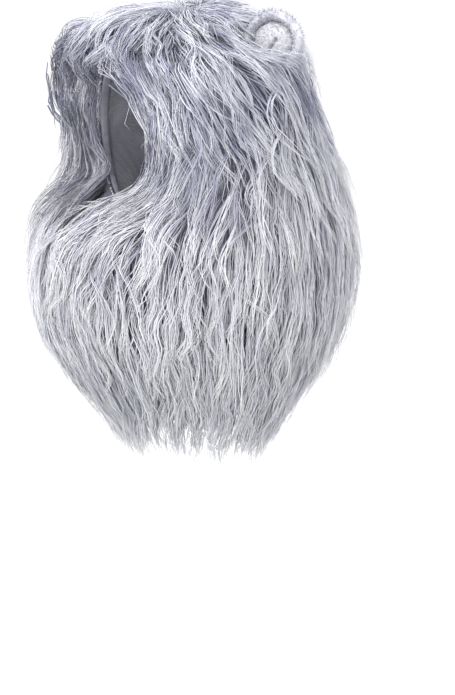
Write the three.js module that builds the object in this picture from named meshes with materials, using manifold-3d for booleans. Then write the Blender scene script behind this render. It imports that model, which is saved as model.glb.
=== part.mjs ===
// A lion mane wig for a large pet: a cloth hood with long fur all round it and two round ears.
// Millimetres, +Z up. The face looks out along -Y, the left side is +X.
// The origin is the crown seat, the highest place inside the hood, which bears on the head.
import * as THREE from "three";
import { mergeVertices } from "three/addons/utils/BufferGeometryUtils.js";
import Module from "manifold-3d";

const wasm = await Module();
wasm.setup();

// Sizes of the hood that the head goes into, measured inside the cloth.
const HOOD_REACH = 310; // the length that the loops' places along Y are shares of
const HOOD_DROP = 400; // from the crown seat to the front of the neck hem
const HOOD_HALF_WIDTH = 120; // at the neck hem
const CLOTH_WALL = 2.6; // knitted backing of the fur
const SEWN_GAP = 0.3; // between two pieces that are sewn together
const HEM_GAP = 0.5; // between the edge of a hem and the edge of the backing

// Sizes of the fur. It is brushed up over the cloth, so it stands far out from it.
const FUR_CROWN = 70; // above the crown seat
const FUR_SIDE = 98; // out from the neck hem on each side
const FUR_FRONT = 101; // forward of the neck hem, over the throat
const FUR_BACK = 56; // behind the neck hem
const FUR_HANG = 134; // below the front of the neck hem
const MANE_AXIS_Y = 5; // the upright axis that the fur falls round
const HEART_SHARE = 0.5875; // of the hood's drop: the height that the fur stands away from
const LOCK_RELIEF = 25; // how far the locks stand over the packed fur below them
const LOCK_WIDTH = 50;
const LOCK_THICKNESS = 19;
const LOCK_LENGTH = 165;
const LOCK_ROOT = 0.25; // how deep a lock is rooted, as a share of its relief
const LOCK_PEAK = 0.8; // the share of its length where it stands out furthest
const LOCK_SWAY = 0.05; // radians that a lock swings to the side
const LOCK_TIP = 0.6; // half the thickness that a lock ends in
const TIP_FLICK = 5; // how far a tip stands out over the mane's outline
const FACE_DISH = 28; // how far the fur beside the face lies back from the mane's outline

// Sizes of the hems.
const FACE_HEM_WIDTH = 13; // along the hood, a casing with elastic in it
const FACE_HEM_THICKNESS = 5;
const NECK_HEM_WIDTH = 11;
const NECK_HEM_THICKNESS = 4.4;

// Sizes of the ears.
const EAR_RADIUS = 41;
const EAR_THICKNESS = 24;
const EAR_ROUND = 118; // degrees round from the front to the middle of an ear
const EAR_DOWN = 0.175; // share of the way down the mane to the middle of an ear
const EAR_SUNK = 22; // how far the middle of an ear lies under the mane's outline
const EAR_TURN = 44; // degrees that an ear is turned from straight ahead to its side
const EAR_LEAN = 8; // degrees that an ear looks up
const EAR_SOCKET_GAP = 0.4;

// Loops of the hood from the face to the neck. Each is an oval through a front point and a
// back point, as shares of the hood's reach and drop, with a half width as a share of its own.
const HOOD_LOOPS = [
  { name: "face", frontY: -0.274, frontZ: -0.52, backY: -0.316, backZ: -0.02, wide: 0.7 },
  { name: "brow", frontY: -0.26, frontZ: -0.555, backY: -0.2, backZ: 0, wide: 0.73 },
  { name: "crown", frontY: -0.26, frontZ: -0.588, backY: 0, backZ: 0, wide: 0.76 },
  { name: "back of head", frontY: -0.265, frontZ: -0.63, backY: 0.19, backZ: -0.045, wide: 0.79 },
  { name: "upper neck", frontY: -0.284, frontZ: -0.7, backY: 0.32, backZ: -0.18, wide: 0.82 },
  { name: "lower neck", frontY: -0.31, frontZ: -0.8, backY: 0.42, backZ: -0.36, wide: 0.87 },
  { name: "shoulders", frontY: -0.332, frontZ: -0.9, backY: 0.485, backZ: -0.53, wide: 0.94 },
  { name: "neck hem", frontY: -0.355, frontZ: -1, backY: 0.53, backZ: -0.69, wide: 1 },
];

// What the fur leaves free in front of the face and round the chest, as shares like the hood's.
const FACE_WAY = [
  { name: "far front", frontY: -0.95, frontZ: -0.5, backY: -0.98, backZ: 0.07, wide: 0.86 },
  { name: "near front", frontY: -0.45, frontZ: -0.51, backY: -0.5, backZ: 0.03, wide: 0.77 },
];
const CHEST_WAY = [
  { name: "chest", frontY: -0.31, frontZ: -1.2, backY: 0.46, backZ: -1, wide: 0.93 },
  { name: "below the fur", frontY: -0.26, frontZ: -1.5, backY: 0.4, backZ: -1.42, wide: 0.86 },
];

// Levels of the mane's outline from top to bottom. A height over 0 is a share of the rise, one
// under 0 of the fall. The reaches to the front, side and back are shares of their own sizes.
// square is the power of the curve from the front to the side: 2 is an oval, more is squarer.
const MANE_LEVELS = [
  { height: 1, front: 0.02, side: 0.02, back: 0.02, square: 2 },
  { height: 0.92, front: 0.33, side: 0.33, back: 0.28, square: 2.4 },
  { height: 0.64, front: 0.55, side: 0.66, back: 0.48, square: 3.2 },
  { height: 0.1, front: 0.61, side: 0.88, back: 0.59, square: 4 },
  { height: -0.085, front: 0.59, side: 0.98, back: 0.66, square: 4.6 },
  { height: -0.2, front: 0.54, side: 1, back: 0.76, square: 4 },
  { height: -0.32, front: 0.6, side: 1, back: 0.88, square: 3.2 },
  { height: -0.43, front: 0.9, side: 0.99, back: 0.97, square: 2.5 },
  { height: -0.55, front: 1, side: 0.95, back: 1, square: 2.2 },
  { height: -0.67, front: 0.96, side: 0.88, back: 0.94, square: 2.1 },
  { height: -0.78, front: 0.8, side: 0.79, back: 0.8, square: 2 },
  { height: -0.88, front: 0.59, side: 0.68, back: 0.6, square: 2 },
  { height: -0.95, front: 0.47, side: 0.58, back: 0.46, square: 2 },
  { height: -1, front: 0.39, side: 0.5, back: 0.38, square: 2 },
];

// Tiers of locks on one half of the mane. A tier starts at a share of the way down from the
// crown; its locks are a share of the full length, width and relief.
const LOCK_TIERS = [
  { start: 0.035, count: 4, long: 0.9, wide: 0.9, relief: 0.75 },
  { start: 0.13, count: 5, long: 0.95, wide: 0.95, relief: 0.9 },
  { start: 0.23, count: 7, long: 1, wide: 1, relief: 1 },
  { start: 0.34, count: 8, long: 1, wide: 1, relief: 1 },
  { start: 0.45, count: 8, long: 1, wide: 1.05, relief: 1 },
  { start: 0.56, count: 9, long: 1, wide: 1, relief: 1 },
  { start: 0.67, count: 9, long: 1, wide: 0.95, relief: 1 },
  { start: 0.77, count: 8, long: 0.98, wide: 0.85, relief: 0.9 },
];

const HOOD_ROWS = 9;
const HOOD_SIDES = 20;
const MANE_ROWS = 13;
const MANE_SIDES = 20;
const EAR_SIDES = 14;
const LOCK_STEPS = 4;
const STEP = 1e-3; // of a row or a radian, for slopes
const TIE = 1e-2; // diagonals that differ by less count as equal

const furFinish = new THREE.MeshStandardMaterial({ color: 0xb9b9c8, roughness: 0.9, metalness: 0 });
const clothFinish = new THREE.MeshStandardMaterial({ color: 0x9a9aa6, roughness: 0.95, metalness: 0 });
const hemFinish = new THREE.MeshStandardMaterial({ color: 0x85858f, roughness: 0.9, metalness: 0 });
const earFinish = new THREE.MeshStandardMaterial({ color: 0xc3c3cf, roughness: 0.92, metalness: 0 });
const plushFinish = new THREE.MeshStandardMaterial({ color: 0xf1f1f4, roughness: 0.95, metalness: 0 });

// A closed surface from a grid of points. rows[i][j] goes round in j. Either the rows close into
// a ring, or each end is closed by a fan to the middle of its row. A four-sided face is parted
// along its shorter diagonal, so that two faces side by side are parted the same way.
function gridSolid(rows, ringOfRows) {
  const sides = rows[0].length;
  const places = rows.flat();
  const faces = [];
  const last = ringOfRows ? rows.length : rows.length - 1;
  for (let i = 0; i < last; i++) {
    const here = i * sides;
    const next = ((i + 1) % rows.length) * sides;
    for (let j = 0; j < sides; j++) {
      const k = (j + 1) % sides;
      const [a, b, c, d] = [here + j, here + k, next + k, next + j];
      const falling = places[a].distanceTo(places[c]) <= places[b].distanceTo(places[d]) + TIE;
      faces.push(...(falling ? [a, b, c, a, c, d] : [a, b, d, b, c, d]));
    }
  }
  if (!ringOfRows) {
    for (const end of [0, rows.length - 1]) {
      const middle = new THREE.Vector3();
      rows[end].forEach((p) => middle.addScaledVector(p, 1 / sides));
      const tip = places.push(middle) - 1;
      for (let j = 0; j < sides; j++) {
        const a = end * sides + j;
        const b = end * sides + ((j + 1) % sides);
        faces.push(...(end === 0 ? [tip, b, a] : [tip, a, b]));
      }
    }
  }
  const geometry = new THREE.BufferGeometry();
  geometry.setAttribute("position", new THREE.Float32BufferAttribute(places.flatMap((p) => p.toArray()), 3));
  geometry.setIndex(faces);
  return solidOf(geometry);
}

// A three.js geometry as a solid, turned right side out.
function solidOf(geometry) {
  const bare = geometry.clone();
  bare.deleteAttribute("normal");
  bare.deleteAttribute("uv");
  const merged = mergeVertices(bare, 1e-4);
  const make = (triVerts) =>
    new wasm.Manifold(
      new wasm.Mesh({ numProp: 3, vertProperties: merged.attributes.position.array, triVerts }),
    );
  const corners = new Uint32Array(merged.index.array);
  const made = make(corners);
  return made.volume() > 0 ? made : make(corners.reverse());
}

function geometryOf(solid) {
  const mesh = solid.getMesh();
  const geometry = new THREE.BufferGeometry();
  geometry.setAttribute("position", new THREE.Float32BufferAttribute(mesh.vertProperties, 3));
  geometry.setIndex(Array.from(mesh.triVerts));
  geometry.computeVertexNormals();
  return geometry;
}

function turned(solid, matrix) {
  return solidOf(geometryOf(solid).applyMatrix4(matrix));
}

// A smooth column of a table: the value at a share of the way from its first row to its last.
function column(rows, valueOf) {
  const curve = new THREE.CatmullRomCurve3(rows.map((row, i) => new THREE.Vector3(i, valueOf(row), 0)));
  return (share) => curve.getPoint(Math.min(1, Math.max(0, share))).y;
}

// The hood's inner loops with the free ways before and after them, as one long tube.
const tubeLoops = [...FACE_WAY, ...HOOD_LOOPS, ...CHEST_WAY];
const faceLoop = FACE_WAY.length;
const hemLoop = faceLoop + HOOD_LOOPS.length - 1;
const tube = {
  frontY: column(tubeLoops, (r) => r.frontY * HOOD_REACH),
  frontZ: column(tubeLoops, (r) => r.frontZ * HOOD_DROP),
  backY: column(tubeLoops, (r) => r.backY * HOOD_REACH),
  backZ: column(tubeLoops, (r) => r.backZ * HOOD_DROP),
  wide: column(tubeLoops, (r) => r.wide * HOOD_HALF_WIDTH),
};

// A point inside the tube's wall, at a place counted in rows of the table and an angle round from
// the back of its loop.
function tubeInside(place, angle) {
  const share = place / (tubeLoops.length - 1);
  const front = new THREE.Vector3(0, tube.frontY(share), tube.frontZ(share));
  const back = new THREE.Vector3(0, tube.backY(share), tube.backZ(share));
  const middle = front.clone().add(back).multiplyScalar(0.5);
  const p = middle.clone().addScaledVector(back.sub(middle), Math.cos(angle));
  p.x += tube.wide(share) * Math.sin(angle);
  return p;
}

// The same point moved out of the surface along its normal.
function tubePoint(place, angle, grown) {
  const along = tubeInside(place + STEP, angle).sub(tubeInside(place - STEP, angle));
  const round = tubeInside(place, angle + STEP).sub(tubeInside(place, angle - STEP));
  const normal = new THREE.Vector3().crossVectors(round, along).normalize();
  return tubeInside(place, angle).addScaledVector(normal, grown);
}

// The place that lies a length away from a loop, along the wall at an angle.
function placeBeside(loop, angle, length) {
  const step = Math.sign(length) * 0.2;
  const rate = tubeInside(loop + step, angle).distanceTo(tubeInside(loop, angle)) / Math.abs(step);
  return loop + length / rate;
}

const spread = (from, to, rows) => Array.from({ length: rows + 1 }, (_, i) => from + ((to - from) * i) / rows);

// The places along the wall at an angle where each piece of cloth has its rows of points.
const clothPlaces = {
  faceHem: (angle) => spread(faceLoop, placeBeside(faceLoop, angle, FACE_HEM_WIDTH), 2),
  backing: (angle) =>
    spread(
      placeBeside(faceLoop, angle, FACE_HEM_WIDTH + HEM_GAP),
      placeBeside(hemLoop, angle, -NECK_HEM_WIDTH - HEM_GAP),
      HOOD_ROWS,
    ),
  neckHem: (angle) => spread(placeBeside(hemLoop, angle, -NECK_HEM_WIDTH), hemLoop, 2),
};

// Rows of points round the tube, one row for each place in the list that goes with an angle.
function tubeRows(placesOf, grown) {
  const angles = spread(0, 2 * Math.PI, HOOD_SIDES).slice(0, -1);
  const columns = angles.map((angle) => placesOf(angle).map((place) => tubePoint(place, angle, grown)));
  return columns[0].map((_, i) => columns.map((points) => points[i]));
}

// A ring of cloth between an inner and an outer surface, both given by how far they are grown.
function band(placesOf, inner, outer) {
  return gridSolid([...tubeRows(placesOf, outer), ...tubeRows(placesOf, inner).reverse()], true);
}

const hoodBacking = band(clothPlaces.backing, 0, CLOTH_WALL);
const faceHem = band(clothPlaces.faceHem, CLOTH_WALL - FACE_HEM_THICKNESS, CLOTH_WALL);
const neckHem = band(clothPlaces.neckHem, CLOTH_WALL - NECK_HEM_THICKNESS, CLOTH_WALL);

// Solids of what the fur keeps out of: the way in front of the face, and the hood with the chest
// below it. The hood's rows are those of its cloth, so their faces lie side by side.
const tubeEnd = tubeLoops.length - 1;
const faceWay = gridSolid(tubeRows(() => spread(0, faceLoop, 3), CLOTH_WALL + SEWN_GAP), false);
const hoodCore = gridSolid(
  tubeRows(
    (angle) => [
      ...clothPlaces.faceHem(angle),
      ...clothPlaces.backing(angle),
      ...clothPlaces.neckHem(angle),
      ...spread(hemLoop, tubeEnd, 4).slice(1),
    ],
    CLOTH_WALL + SEWN_GAP,
  ),
  false,
);

// The mane's own sizes: those of the hood at its neck hem with the fur that stands over it.
const hemRow = HOOD_LOOPS.at(-1);
const maneSize = {
  rise: FUR_CROWN,
  fall: HOOD_DROP + FUR_HANG,
  front: MANE_AXIS_Y - hemRow.frontY * HOOD_REACH + FUR_FRONT,
  side: hemRow.wide * HOOD_HALF_WIDTH + FUR_SIDE,
  back: hemRow.backY * HOOD_REACH - MANE_AXIS_Y + FUR_BACK,
};
const mane = {
  z: column(MANE_LEVELS, (r) => r.height * (r.height > 0 ? maneSize.rise : maneSize.fall)),
  front: column(MANE_LEVELS, (r) => r.front * maneSize.front),
  side: column(MANE_LEVELS, (r) => r.side * maneSize.side),
  back: column(MANE_LEVELS, (r) => r.back * maneSize.back),
  square: column(MANE_LEVELS, (r) => r.square),
};
const maneHeart = new THREE.Vector3(0, MANE_AXIS_Y, -HEART_SHARE * HOOD_DROP);

// How far the fur at a point lies back: all of the dish beside the face opening, fading out to
// the sides of the mane, over the brow, under the chin and behind the face.
const ease = THREE.MathUtils.smoothstep;
const opening = HOOD_LOOPS[0];
function faceDish(p) {
  const rim = opening.wide * HOOD_HALF_WIDTH;
  const brow = opening.backZ * HOOD_DROP;
  const chin = opening.frontZ * HOOD_DROP;
  const beside = 1 - ease(Math.abs(p.x), rim, maneSize.side);
  const height = ease(p.z, 1.15 * chin, 0.8 * chin) * (1 - ease(p.z, 5 * brow, -3 * brow));
  return FACE_DISH * beside * height * ease(-p.y, 0.3 * rim, rim);
}

// The mane's outline: the point at an angle round from the front, a share of the way down, and a
// depth under the outline, measured towards the heart of the mane.
function manePoint(angle, share, depth) {
  const ahead = Math.cos(angle);
  const aside = Math.sin(angle);
  const along = ahead > 0 ? mane.front(share) : mane.back(share);
  const power = ahead > 0 ? mane.square(share) : 2;
  const reach =
    (Math.abs(ahead / along) ** power + Math.abs(aside / mane.side(share)) ** power) ** (-1 / power);
  const p = new THREE.Vector3(reach * aside, MANE_AXIS_Y - reach * ahead, mane.z(share));
  p.y += faceDish(p);
  const out = p.clone().sub(maneHeart);
  return p.addScaledVector(out.normalize(), -depth);
}

// The way down the mane's side from the crown to the lowest tips.
const maneWay = Array.from({ length: MANE_ROWS }, (_, i) =>
  manePoint(Math.PI / 2, i / MANE_ROWS, 0).distanceTo(manePoint(Math.PI / 2, (i + 1) / MANE_ROWS, 0)),
).reduce((a, b) => a + b);

function packedFur() {
  const rows = Array.from({ length: MANE_ROWS + 1 }, (_, i) =>
    Array.from({ length: MANE_SIDES }, (_, j) =>
      manePoint((2 * Math.PI * j) / MANE_SIDES, i / MANE_ROWS, LOCK_RELIEF),
    ),
  );
  return gridSolid(rows, false);
}

// One lock: a four-sided spindle laid along a path down the mane, rooted in the packed fur, half
// full at its root, full before its middle and drawn out to a tip that flicks over the outline.
function lock(angle, start, sizes, bend) {
  const length = sizes.long * LOCK_LENGTH;
  const path = Array.from({ length: LOCK_STEPS + 1 }, (_, i) => {
    const t = i / LOCK_STEPS;
    const share = Math.min(1, start + (t * length) / maneWay);
    const rise = sizes.relief * Math.sin((0.5 * Math.PI * t) / LOCK_PEAK);
    const depth = LOCK_RELIEF * (1 + LOCK_ROOT - rise) - t * t * TIP_FLICK;
    return manePoint(angle + bend * Math.sin(Math.PI * t * LOCK_PEAK), share, depth);
  });
  const rows = path.map((p, i) => {
    const t = i / LOCK_STEPS;
    const before = path[Math.max(0, i - 1)];
    const after = path[Math.min(LOCK_STEPS, i + 1)];
    const along = after.clone().sub(before).normalize();
    const out = p.clone().sub(maneHeart).normalize();
    const across = new THREE.Vector3().crossVectors(along, out).normalize();
    out.crossVectors(across, along).normalize();
    const full = Math.sqrt(1 - t ** 2.2) * (0.55 + 0.45 * Math.sin(Math.PI * Math.min(1, t * 1.3)));
    const half = Math.max(LOCK_TIP, 0.5 * LOCK_WIDTH * sizes.wide * full);
    const thick = Math.max(LOCK_TIP, LOCK_THICKNESS * full);
    return [
      p.clone().addScaledVector(across, half),
      p.clone().addScaledVector(out, 0.5 * thick),
      p.clone().addScaledVector(across, -half),
      p.clone().addScaledVector(out, -0.5 * thick),
    ];
  });
  return gridSolid(rows, false);
}

// A lock is left out where it would start or lie in front of the face.
function blocksFace(angle, start, sizes) {
  const share = start + (0.5 * sizes.long * LOCK_LENGTH) / maneWay;
  const clear = tube.wide(faceLoop / (tubeLoops.length - 1)) + 0.25 * LOCK_WIDTH;
  const bottom = HOOD_LOOPS[0].frontZ * HOOD_DROP;
  return [manePoint(angle, start, 0), manePoint(angle, share, 0)].some(
    (p) => p.y < MANE_AXIS_Y && Math.abs(p.x) < clear && p.z < 0 && p.z > bottom,
  );
}

// All locks of one half, side 1 on the left and -1 on the right. Each tier is set off by half a
// lock from the one above, and a slow wave over the mane keeps them from lying in ranks.
function locksOf(side) {
  const made = [];
  LOCK_TIERS.forEach((tier, row) => {
    for (let k = 0; k < tier.count; k++) {
      const offset = row % 2 ? 0.3 : 0.7;
      const wave = Math.sin(2.4 * k + 1.7 * row + side);
      const angle = side * Math.PI * ((k + offset) / tier.count);
      const start = tier.start + 0.014 * wave;
      const sizes = { ...tier, long: tier.long * (1 + 0.09 * Math.cos(1.9 * k + row)) };
      if (!blocksFace(angle, start, sizes)) made.push(lock(angle, start, sizes, LOCK_SWAY * wave));
    }
  });
  return made;
}

// The profile of an ear from the middle of its back, over the rim, to the middle of its hollow.
// out is a share of the radius and front a share of the thickness.
const EAR_CUP = [
  { out: 0, front: -0.5 },
  { out: 0.46, front: -0.45 },
  { out: 0.8, front: -0.28 },
  { out: 0.97, front: 0 },
  { out: 1, front: 0.22 },
  { out: 0.92, front: 0.42 },
  { out: 0.8, front: 0.42 },
  { out: 0.7, front: 0.24 },
  { out: 0.6, front: -0.02 },
  { out: 0, front: -0.1 },
];
const EAR_PAD = [
  { out: 0.56, front: -0.026 },
  { out: 0.62, front: 0.15 },
  { out: 0.5, front: 0.29 },
  { out: 0.26, front: 0.38 },
  { out: 0, front: 0.4 },
];

function latheOf(profile) {
  return solidOf(new THREE.LatheGeometry(profile, EAR_SIDES));
}

const cupProfile = EAR_CUP.map((row) => new THREE.Vector2(row.out * EAR_RADIUS, row.front * EAR_THICKNESS));

// The fur-covered cup of an ear, turned about +Y.
const earCup = latheOf(cupProfile);

// What the fur keeps out of round a cup: its back and rim moved out along their normals, and a
// flat front over the hollow.
function earSocket() {
  const rim = EAR_CUP.findLastIndex((row) => row.front === Math.max(...EAR_CUP.map((r) => r.front)));
  const solid = cupProfile.slice(0, rim + 1);
  solid.push(new THREE.Vector2(0, solid[rim].y));
  const grown = solid.map((p, i) => {
    const along = (solid[i + 1] ?? p).clone().sub(solid[i - 1] ?? p).normalize();
    const out = new THREE.Vector2(along.y, -along.x);
    const moved = p.clone().addScaledVector(out, EAR_SOCKET_GAP);
    return p.x ? moved : new THREE.Vector2(0, p.y + Math.sign(p.y) * EAR_SOCKET_GAP);
  });
  return latheOf(grown);
}

// The plush pad that fills the hollow. Its back is the floor of the hollow, lifted by a sewn gap.
function earPad() {
  const lifted = (row) => new THREE.Vector2(row.out * EAR_RADIUS, row.front * EAR_THICKNESS + SEWN_GAP);
  return latheOf([EAR_CUP.at(-1), ...EAR_PAD].map(lifted));
}

// Where an ear stands: its lathe axis +Y turned to the way the ear faces.
function earPlace(side) {
  const turn = THREE.MathUtils.degToRad(EAR_TURN) * side;
  const lean = THREE.MathUtils.degToRad(EAR_LEAN);
  const facing = new THREE.Vector3(
    Math.sin(turn) * Math.cos(lean),
    -Math.cos(turn) * Math.cos(lean),
    Math.sin(lean),
  );
  const up = new THREE.Vector3(0, 0, 1).addScaledVector(facing, -facing.z).normalize();
  const across = new THREE.Vector3().crossVectors(facing, up);
  const round = THREE.MathUtils.degToRad(EAR_ROUND) * side;
  return new THREE.Matrix4()
    .makeBasis(across, facing, up)
    .setPosition(manePoint(round, EAR_DOWN, EAR_SUNK));
}

// Half of the mane: the packed fur with its locks, parted from the other half at the seam over
// the crown and under the throat, and clear of the face, the hood and the ear.
function manePanel(side) {
  const half = new THREE.BoxGeometry(2 * maneSize.side, 4 * maneSize.side, 4 * maneSize.fall);
  half.translate(side * (maneSize.side + 0.5 * SEWN_GAP), 0, 0);
  let fur = packedFur().subtract(faceWay);
  for (const one of locksOf(side)) fur = fur.add(one);
  const cut = fur
    .intersect(solidOf(half))
    .subtract(hoodCore)
    .subtract(turned(earSocket(), earPlace(side)));
  return largest(cut);
}

// The cuts leave a few loose tips of locks; only the panel itself is kept.
function largest(solid) {
  return solid.decompose().reduce((a, b) => (b.volume() > a.volume() ? b : a));
}

function named(name, geometry, material) {
  const mesh = new THREE.Mesh(geometry, material);
  mesh.name = name;
  return mesh;
}

const hood = new THREE.Group();
hood.add(
  named("hood_backing", geometryOf(hoodBacking), clothFinish),
  named("face_hem", geometryOf(faceHem), hemFinish),
  named("neck_hem", geometryOf(neckHem), hemFinish),
);

const wig = new THREE.Group();
wig.add(hood);
for (const [label, side] of [["left", 1], ["right", -1]]) {
  wig.add(named("mane_panel_" + label, geometryOf(manePanel(side)), furFinish));
  const ear = new THREE.Group();
  ear.applyMatrix4(earPlace(side));
  ear.add(
    named("ear_cup_" + label, geometryOf(earCup), earFinish),
    named("ear_pad_" + label, geometryOf(earPad()), plushFinish),
  );
  wig.add(ear);
}

export default wig;
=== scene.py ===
"""Looks of a lion mane wig for a large pet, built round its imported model.

All sizes are in metres. +Z is up, the face looks out along -Y and the left side is +X.
"""

import bpy
import numpy as np
from bpy.props import FloatProperty, FloatVectorProperty, IntProperty, PointerProperty
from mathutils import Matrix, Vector


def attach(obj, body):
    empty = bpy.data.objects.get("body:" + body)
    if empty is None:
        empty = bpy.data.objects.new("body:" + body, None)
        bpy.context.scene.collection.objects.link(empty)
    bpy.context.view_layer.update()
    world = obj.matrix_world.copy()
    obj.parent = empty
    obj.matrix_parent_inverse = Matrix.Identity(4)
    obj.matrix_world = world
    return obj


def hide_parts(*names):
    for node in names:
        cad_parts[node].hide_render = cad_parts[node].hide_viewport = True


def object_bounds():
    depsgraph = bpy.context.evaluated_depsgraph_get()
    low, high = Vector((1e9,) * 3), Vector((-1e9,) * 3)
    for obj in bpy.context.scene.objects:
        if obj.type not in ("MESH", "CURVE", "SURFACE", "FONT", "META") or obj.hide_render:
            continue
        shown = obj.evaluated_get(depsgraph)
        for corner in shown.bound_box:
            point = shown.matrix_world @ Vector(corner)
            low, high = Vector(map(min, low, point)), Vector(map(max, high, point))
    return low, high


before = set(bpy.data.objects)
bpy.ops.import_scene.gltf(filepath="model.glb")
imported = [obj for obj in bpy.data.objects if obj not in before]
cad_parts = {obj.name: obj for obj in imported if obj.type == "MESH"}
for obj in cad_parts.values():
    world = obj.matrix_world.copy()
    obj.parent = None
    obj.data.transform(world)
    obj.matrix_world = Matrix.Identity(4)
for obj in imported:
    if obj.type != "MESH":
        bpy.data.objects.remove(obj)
CAD_BOX = [list(corner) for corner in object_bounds()]

bl_info = {
    "name": "Lion Mane Wig",
    "version": (1, 0, 0),
    "blender": (4, 5, 0),
    "location": "3D View > Sidebar > Mane Wig",
    "description": "Long fur, knitted backing, gathered hems and plush ears of a pet's mane wig",
    "category": "Add Mesh",
}

BODY = "root"

# The hood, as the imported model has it. Each loop: front Y, front Z, back Y, back Z, half width,
# as shares of the reach, the drop and the half width.
HOOD_REACH = 0.310
HOOD_DROP = 0.400
HOOD_HALF_WIDTH = 0.120
CLOTH_WALL = 0.0026
HOOD_LOOPS = np.array(
    [
        (-0.95, -0.5, -0.98, 0.07, 0.86),
        (-0.45, -0.51, -0.5, 0.03, 0.77),
        (-0.274, -0.52, -0.316, -0.02, 0.7),
        (-0.26, -0.555, -0.2, 0, 0.73),
        (-0.26, -0.588, 0, 0, 0.76),
        (-0.265, -0.63, 0.19, -0.045, 0.79),
        (-0.284, -0.7, 0.32, -0.18, 0.82),
        (-0.31, -0.8, 0.42, -0.36, 0.87),
        (-0.332, -0.9, 0.485, -0.53, 0.94),
        (-0.355, -1, 0.53, -0.69, 1),
        (-0.31, -1.2, 0.46, -1, 0.93),
        (-0.26, -1.5, 0.4, -1.42, 0.86),
    ]
)
FACE_LOOP = 2
HEM_LOOP = 9

# The mane's outline from top to bottom: height, reach to the front, side and back as shares of
# its sizes, and the power of the curve from front to side.
MANE_LEVELS = np.array(
    [
        (1, 0.02, 0.02, 0.02, 2),
        (0.92, 0.33, 0.33, 0.28, 2.4),
        (0.64, 0.55, 0.66, 0.48, 3.2),
        (0.1, 0.61, 0.88, 0.59, 4),
        (-0.085, 0.59, 0.98, 0.66, 4.6),
        (-0.2, 0.54, 1, 0.76, 4),
        (-0.32, 0.6, 1, 0.88, 3.2),
        (-0.43, 0.9, 0.99, 0.97, 2.5),
        (-0.55, 1, 0.95, 1, 2.2),
        (-0.67, 0.96, 0.88, 0.94, 2.1),
        (-0.78, 0.8, 0.79, 0.8, 2),
        (-0.88, 0.59, 0.68, 0.6, 2),
        (-0.95, 0.47, 0.58, 0.46, 2),
        (-1, 0.39, 0.5, 0.38, 2),
    ]
)
MANE_RISE = 0.070
MANE_FALL = 0.534
MANE_FRONT = 0.21605
MANE_SIDE = 0.218
MANE_BACK = 0.2153
MANE_AXIS_Y = 0.005
MANE_HEART = np.array([0, MANE_AXIS_Y, -0.235])
FACE_DISH = 0.028

# The ears: profile of the cup from the middle of its back round the rim to its hollow, and of
# the pad, as shares of the radius and the thickness.
EAR_RADIUS = 0.041
EAR_THICKNESS = 0.024
EAR_CUP = np.array(
    [(0, -0.5), (0.46, -0.45), (0.8, -0.28), (0.97, 0), (1, 0.22)]
    + [(0.92, 0.42), (0.8, 0.42), (0.7, 0.24), (0.6, -0.02), (0, -0.1)]
)
EAR_PAD = np.array(
    [(0, -0.0875), (0.56, -0.0135), (0.62, 0.1625), (0.5, 0.3025), (0.26, 0.3925), (0, 0.4125)]
)
EAR_ROUND = np.radians(118)
EAR_DOWN = 0.175
EAR_SUNK = 0.022
EAR_TURN = np.radians(44)
EAR_LEAN = np.radians(8)

# The ball before each ear that keeps the fur off its pad.
EAR_DIP = 0.043
EAR_DIP_FRONT = 0.036
EAR_DIP_UP = 0.022

# The way that the fur keeps free before the face, as the hairs go round it.
FACE_MIDDLE = -0.106
FACE_HALF_HEIGHT = 0.112
FACE_HALF_WIDTH = 0.097

# How far the fur is brushed round the mane, in radians over a lock's length, and how far it is
# moved back at the left temple and forward at the right one.
SWEEP_BACK = 0.46
SWEEP_THROAT = 0.4
SWEEP_BROW = 0.15
TEMPLE_BACK = 0.012
TEMPLE_FORWARD = 0.018

# Where the rows of the undercoat and of the locks start, as lengths from the crown, and how many
# locks start at the lower hem, fan over the brow and lie loose.
UNDER_ROWS = np.arange(0.03, 0.62, 0.055)
LOCK_ROWS = np.arange(0.006, 0.7, 0.034)
HEM_LOCKS = 44
FAN_LOCKS = 46
WISPS = 230
SHORTEST_LOCK = 0.05

# The smaller locks in each lock, the points along a hair, its depth as a share of its width, and
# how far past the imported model's box a hair reaches freely.
SMALL_LOCKS = 9
UNDER_RINGS = 7
HAIR_RINGS = 9
HAIR_FLATNESS = 0.5
FREE_REACH = 0.012

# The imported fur's grid, with the degrees by which it fans out past the face and neck openings.
OVER_CLOTH = CLOTH_WALL + 0.001
PACKED_SIDES = 132
PACKED_ROWS = 44
PACKED_END = HEM_LOOP + 0.8
FACE_FAN = (58, 44, 30, 15)
NECK_FAN = (-14, -28, -42)

# The rows of its wall at the face opening, and the short hairs that leave it there.
WALL_SHARES = np.array([0.3, 0.55, 0.8])
EDGE_HAIRS = 320
EDGE_RINGS = 5

# The cloth's grid, the sides of a hem's section, and the ears' sides, hairs and pile.
LINING_SIDES = 108
LINING_ROWS = 46
HEM_SIDES = 16
EAR_SIDES = 56
EAR_HAIRS = 1500
EAR_RINGS = 5
PILE_HAIRS = 1300
PILE_RINGS = 4

# The floor, which runs level and then bends up behind the wig, the lights and the camera.
FLOOR_SIDES = 24
FLOOR_ROWS = 40
FLOOR_HALF = 14
FLOOR_NEAR = -8
FLOOR_RUN = 20
FLOOR_LEVEL = 5
FLOOR_BEND = 5
LIGHT_AIM = np.array([0, 0, -0.25])
LIGHT_DISTANCE = 2.6
LENS = 164.6
AIM_RIGHT = 0.04846
AIM_UP = -0.39526


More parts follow.
